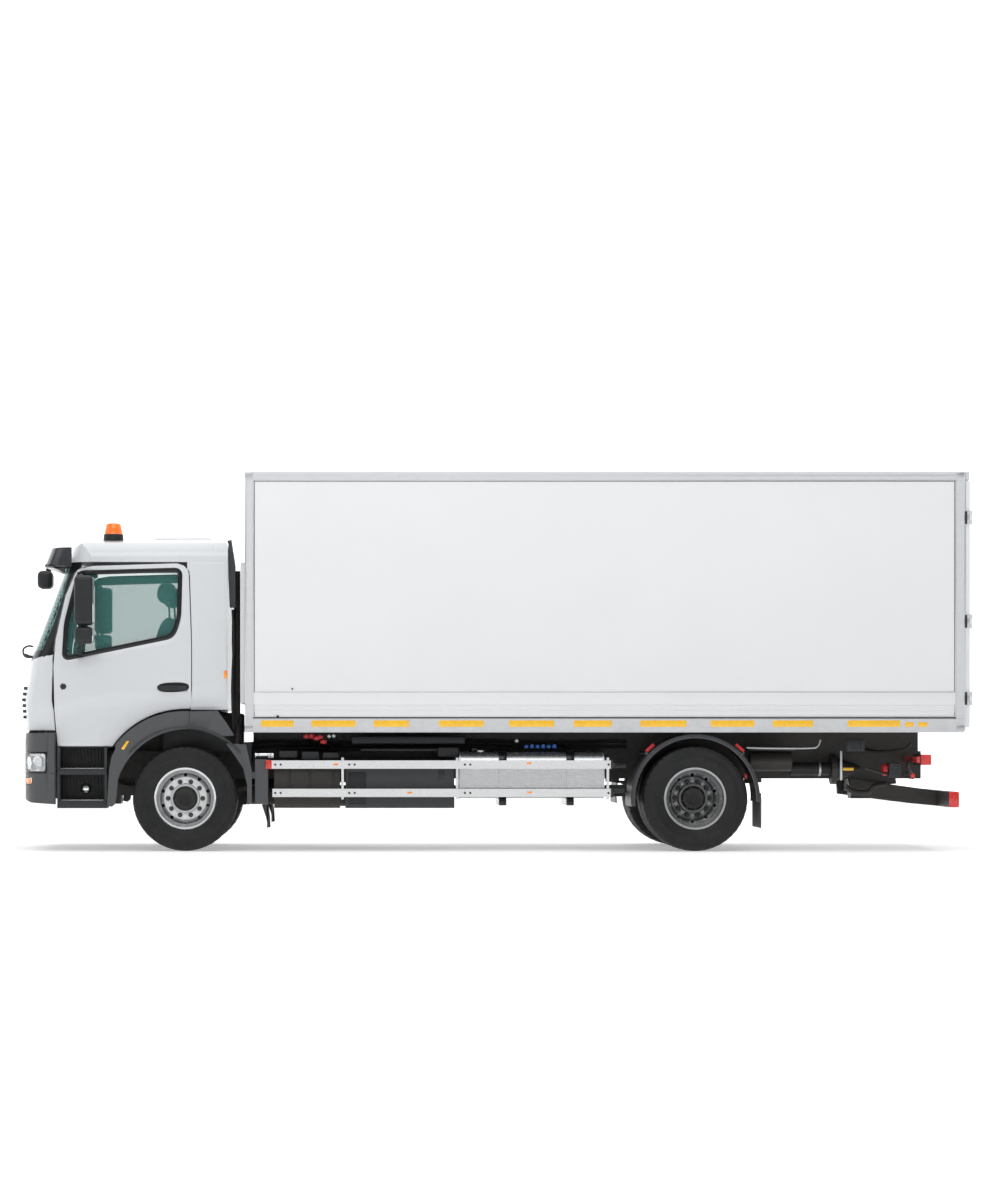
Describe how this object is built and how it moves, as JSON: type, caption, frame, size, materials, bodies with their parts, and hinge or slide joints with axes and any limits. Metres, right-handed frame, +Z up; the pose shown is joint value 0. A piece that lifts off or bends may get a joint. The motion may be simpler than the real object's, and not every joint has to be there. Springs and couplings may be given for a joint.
{
  "type": "mail delivery truck",
  "caption": "Two-axle box-body delivery truck with a tilting day cab, twin rear tyres, side guards and a pair of rear cargo doors.",
  "frame": {"origin": "on the ground under the middle of the whole truck", "axes": "+X to the rear, +Y to the truck's right-hand side, +Z up; the cab faces -X"},
  "size_m": [9.17, 2.92, 3.64],
  "materials": {
    "cab_paint": "gloss white paint",
    "box_paint": "white coated panel",
    "frame_paint": "dark grey chassis paint",
    "dark_plastic": "grained dark grey plastic",
    "glass": "tinted",
    "visor": "dark translucent",
    "amber_lens": "ribbed amber lens on a black foot",
    "lamp_lens": "clear lens",
    "red_lens": "red lens",
    "wheel_paint": "silver wheel paint",
    "tyre": "black rubber",
    "aluminium": "mill finish",
    "steel": "galvanised",
    "cast": "dark oily metal",
    "seat_fabric": "woven grey cloth",
    "interior": "soft-touch grey"
  },
  "bodies": {
    "chassis": {"frame_rails": "frame_paint", "crossmembers": "frame_paint", "front_axle_beam": "cast", "rear_axle_housing": "cast", "suspension": "cast", "engine": "cast", "exhaust_system": "steel", "fuel_tank": "aluminium", "battery_box": "dark_plastic", "air_tanks": "frame_paint", "side_guards": "aluminium", "mudguards": "dark_plastic", "front_bumper": "dark_plastic", "front_lamps": "lamp_lens", "underrun_guard": "steel", "tow_coupling": "frame_paint", "tail_lamps": "red_lens", "box_floor": "frame_paint", "box_front_wall": "box_paint", "box_side_left": "box_paint", "box_side_right": "box_paint", "box_roof": "box_paint", "box_frame": "aluminium"},
    "cab": {"cab_front": "cab_paint", "cab_rear_wall": "cab_paint", "cab_roof": "cab_paint", "cab_floor": "frame_paint", "windscreen": "glass", "sun_visor": "visor", "beacon": "amber_lens", "wheel_arches": "dark_plastic", "entry_steps": "dark_plastic", "snorkel": "dark_plastic", "seats": "seat_fabric", "dashboard": "interior"},
    "steering": {"steering_wheel": "interior"},
    "grille": {"grille_flap": "cab_paint"},
    "propshaft": {"propshaft": "cast"},
    "knuckle_left": {"steering_knuckle_left": "cast"},
    "front_roadwheel_left": {"front_wheel_left": "wheel_paint", "front_tyre_left": "tyre"},
    "rear_roadwheels_left": {"rear_wheels_left": "wheel_paint", "rear_tyres_left": "tyre"},
    "door_left": {"cab_door_left": "cab_paint"},
    "window_left": {"door_window_left": "glass"},
    "mirror_left": {"door_mirror_left": "dark_plastic"},
    "cargo_door_left": {"rear_door_left": "box_paint"},
    "lock_left": {"lock_rod_left": "steel"},
    "wiper_arm_left": {"wiper_left": "dark_plastic"},
    "knuckle_right": {"steering_knuckle_right": "cast"},
    "front_roadwheel_right": {"front_wheel_right": "wheel_paint", "front_tyre_right": "tyre"},
    "rear_roadwheels_right": {"rear_wheels_right": "wheel_paint", "rear_tyres_right": "tyre"},
    "door_right": {"cab_door_right": "cab_paint"},
    "window_right": {"door_window_right": "glass"},
    "mirror_right": {"door_mirror_right": "dark_plastic"},
    "cargo_door_right": {"rear_door_right": "box_paint"},
    "lock_right": {"lock_rod_right": "steel"},
    "wiper_arm_right": {"wiper_right": "dark_plastic"}
  },
  "joints": [
    {"name": "cab_tilt", "type": "hinge", "parent": "chassis", "child": "cab", "pos_m": [-4.524, 0, 1.11], "axis": [0, -1, 0], "range_deg": [0, 60]},
    {"name": "steer_left", "type": "hinge", "parent": "chassis", "child": "knuckle_left", "pos_m": [-2.964, -0.87, 0.507], "axis": [0, 0, 1], "range_deg": [-38, 38]},
    {"name": "front_left_spin", "type": "hinge", "parent": "knuckle_left", "child": "front_roadwheel_left", "pos_m": [-2.964, -1.02, 0.507], "axis": [0, -1, 0], "continuous": true},
    {"name": "rear_left_spin", "type": "hinge", "parent": "chassis", "child": "rear_roadwheels_left", "pos_m": [1.936, -0.902, 0.507], "axis": [0, -1, 0], "continuous": true},
    {"name": "door_left_swing", "type": "hinge", "parent": "cab", "child": "door_left", "pos_m": [-4.226, -1.15, 1.9], "axis": [0, 0, -1], "range_deg": [0, 55]},
    {"name": "window_left_drop", "type": "slide", "parent": "door_left", "child": "window_left", "axis": [0, 0, -1], "range_m": [0, 0.6]},
    {"name": "mirror_left_fold", "type": "hinge", "parent": "door_left", "child": "mirror_left", "pos_m": [-3.974, -1.18, 2.27], "axis": [0, 0, 1], "range_deg": [-65, 12]},
    {"name": "cargo_door_left_swing", "type": "hinge", "parent": "chassis", "child": "cargo_door_left", "pos_m": [4.571, -1.281, 2.37], "axis": [0, 0, -1], "range_deg": [0, 240]},
    {"name": "lock_left_turn", "type": "hinge", "parent": "cargo_door_left", "child": "lock_left", "pos_m": [4.571, -0.23, 2.37], "axis": [0, 0, 1], "range_deg": [0, 90]},
    {"name": "steer_right", "type": "hinge", "parent": "chassis", "child": "knuckle_right", "pos_m": [-2.964, 0.87, 0.507], "axis": [0, 0, 1], "range_deg": [-38, 38]},
    {"name": "front_right_spin", "type": "hinge", "parent": "knuckle_right", "child": "front_roadwheel_right", "pos_m": [-2.964, 1.02, 0.507], "axis": [0, -1, 0], "continuous": true},
    {"name": "rear_right_spin", "type": "hinge", "parent": "chassis", "child": "rear_roadwheels_right", "pos_m": [1.936, 0.902, 0.507], "axis": [0, -1, 0], "continuous": true},
    {"name": "door_right_swing", "type": "hinge", "parent": "cab", "child": "door_right", "pos_m": [-4.226, 1.15, 1.9], "axis": [0, 0, 1], "range_deg": [0, 55]},
    {"name": "window_right_drop", "type": "slide", "parent": "door_right", "child": "window_right", "axis": [0, 0, -1], "range_m": [0, 0.6]},
    {"name": "mirror_right_fold", "type": "hinge", "parent": "door_right", "child": "mirror_right", "pos_m": [-3.974, 1.18, 2.27], "axis": [0, 0, -1], "range_deg": [-65, 12]},
    {"name": "cargo_door_right_swing", "type": "hinge", "parent": "chassis", "child": "cargo_door_right", "pos_m": [4.571, 1.281, 2.37], "axis": [0, 0, 1], "range_deg": [0, 240]},
    {"name": "lock_right_turn", "type": "hinge", "parent": "cargo_door_right", "child": "lock_right", "pos_m": [4.571, 0.23, 2.37], "axis": [0, 0, -1], "range_deg": [0, 90]},
    {"name": "steering_wheel_turn", "type": "hinge", "parent": "cab", "child": "steering", "pos_m": [-3.764, -0.56, 2], "axis": [0.5736, 0, 0.8192], "range_deg": [-725, 725]},
    {"name": "grille_lift", "type": "hinge", "parent": "cab", "child": "grille", "pos_m": [-4.529, 0, 1.836], "axis": [0, 1, 0], "range_deg": [0, 80]},
    {"name": "wiper_left_sweep", "type": "hinge", "parent": "cab", "child": "wiper_arm_left", "pos_m": [-4.53352, -0.72, 1.893], "axis": [0.934, 0, -0.3573], "range_deg": [0, 85]},
    {"name": "wiper_right_sweep", "type": "hinge", "parent": "cab", "child": "wiper_arm_right", "pos_m": [-4.53352, 0.06, 1.893], "axis": [0.934, 0, -0.3573], "range_deg": [0, 85]},
    {"name": "propshaft_spin", "type": "hinge", "parent": "chassis", "child": "propshaft", "pos_m": [-0.2465, 0, 0.56], "axis": [-1, 0, 0], "continuous": true}
  ],
  "couplings": [
    {"joint": "steer_right", "follows": "steer_left", "ratio": 1},
    {"joint": "steering_wheel_turn", "follows": "steer_left", "ratio": 19},
    {"joint": "wiper_right_sweep", "follows": "wiper_left_sweep", "ratio": 1},
    {"joint": "propshaft_spin", "follows": "rear_left_spin", "ratio": 2.846}
  ]
}
